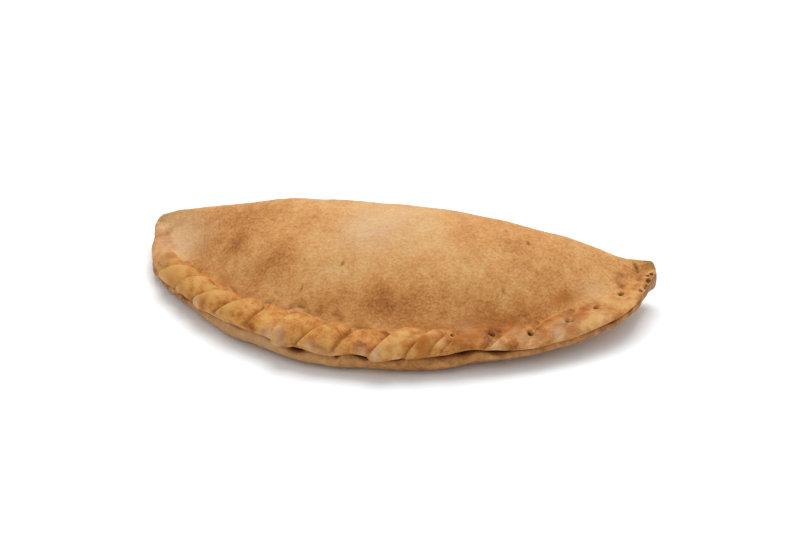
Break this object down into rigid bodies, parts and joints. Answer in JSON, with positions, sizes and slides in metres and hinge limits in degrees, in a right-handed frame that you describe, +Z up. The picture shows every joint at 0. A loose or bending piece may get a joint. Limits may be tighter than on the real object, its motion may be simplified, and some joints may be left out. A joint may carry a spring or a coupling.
{
  "type": "empanada",
  "caption": "Baked half-moon turnover of wheat dough with a rounded fold at the back, a domed top and a rope-crimped rim along the front, lying on its flat underside.",
  "frame": {"origin": "middle of the footprint, on the flat underside", "axes": "+X from the blunt left end to the raised right-hand tip, -Y towards the crimped rim, +Y towards the fold, +Z up"},
  "size_m": [0.1562, 0.0748, 0.0272],
  "materials": {
    "baked_dough": "dry baked wheat dough, golden brown with paler and darker patches and a faint bloom of flour"
  },
  "bodies": {
    "root": {"empanada": "baked_dough"}
  },
  "joints": []
}
